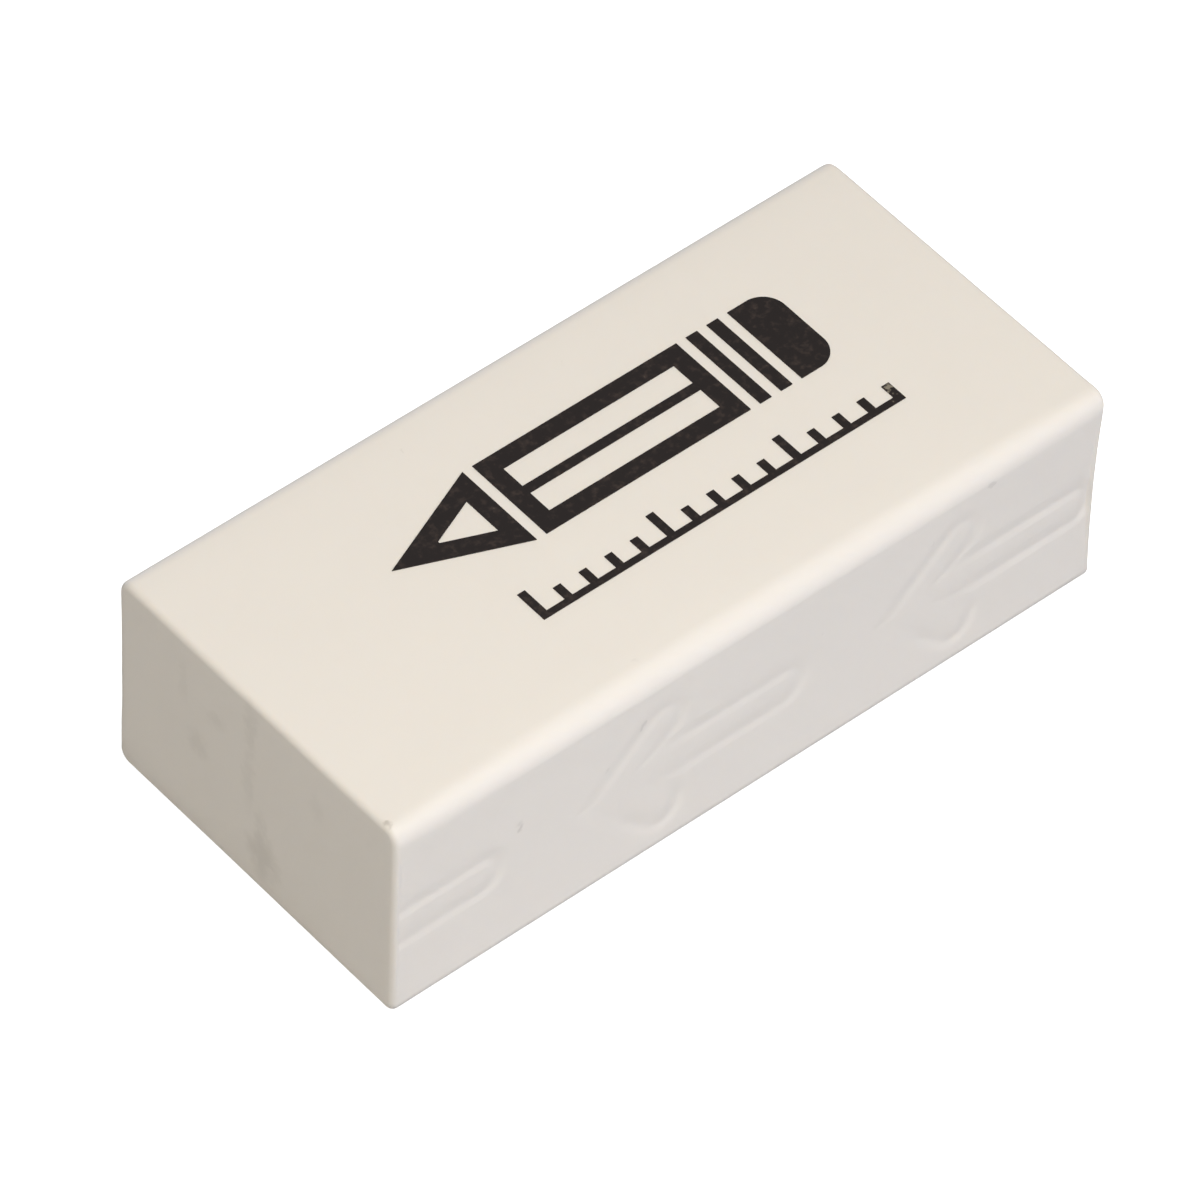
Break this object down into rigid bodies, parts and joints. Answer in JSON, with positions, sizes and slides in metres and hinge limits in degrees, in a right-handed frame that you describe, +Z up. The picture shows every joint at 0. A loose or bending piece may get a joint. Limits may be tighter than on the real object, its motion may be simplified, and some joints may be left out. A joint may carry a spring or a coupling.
{
  "type": "rubber eraser",
  "caption": "Small white block eraser with soft long edges, slightly hollow cut ends, arrows pressed into one long side and a plain black print on top.",
  "frame": {"origin": "middle of the flat underside", "axes": "+X along the length, away from where the arrows point; -Y is the long side with the pressed arrows; +Z up to the printed top"},
  "size_m": [0.0404, 0.0186, 0.0119],
  "materials": {
    "white_vinyl": "smooth soft vinyl with a faint satin sheen",
    "black_ink": "thin printed ink, satin, slightly worn"
  },
  "bodies": {
    "root": {"eraser_block": "white_vinyl", "top_print": "black_ink"}
  },
  "joints": []
}
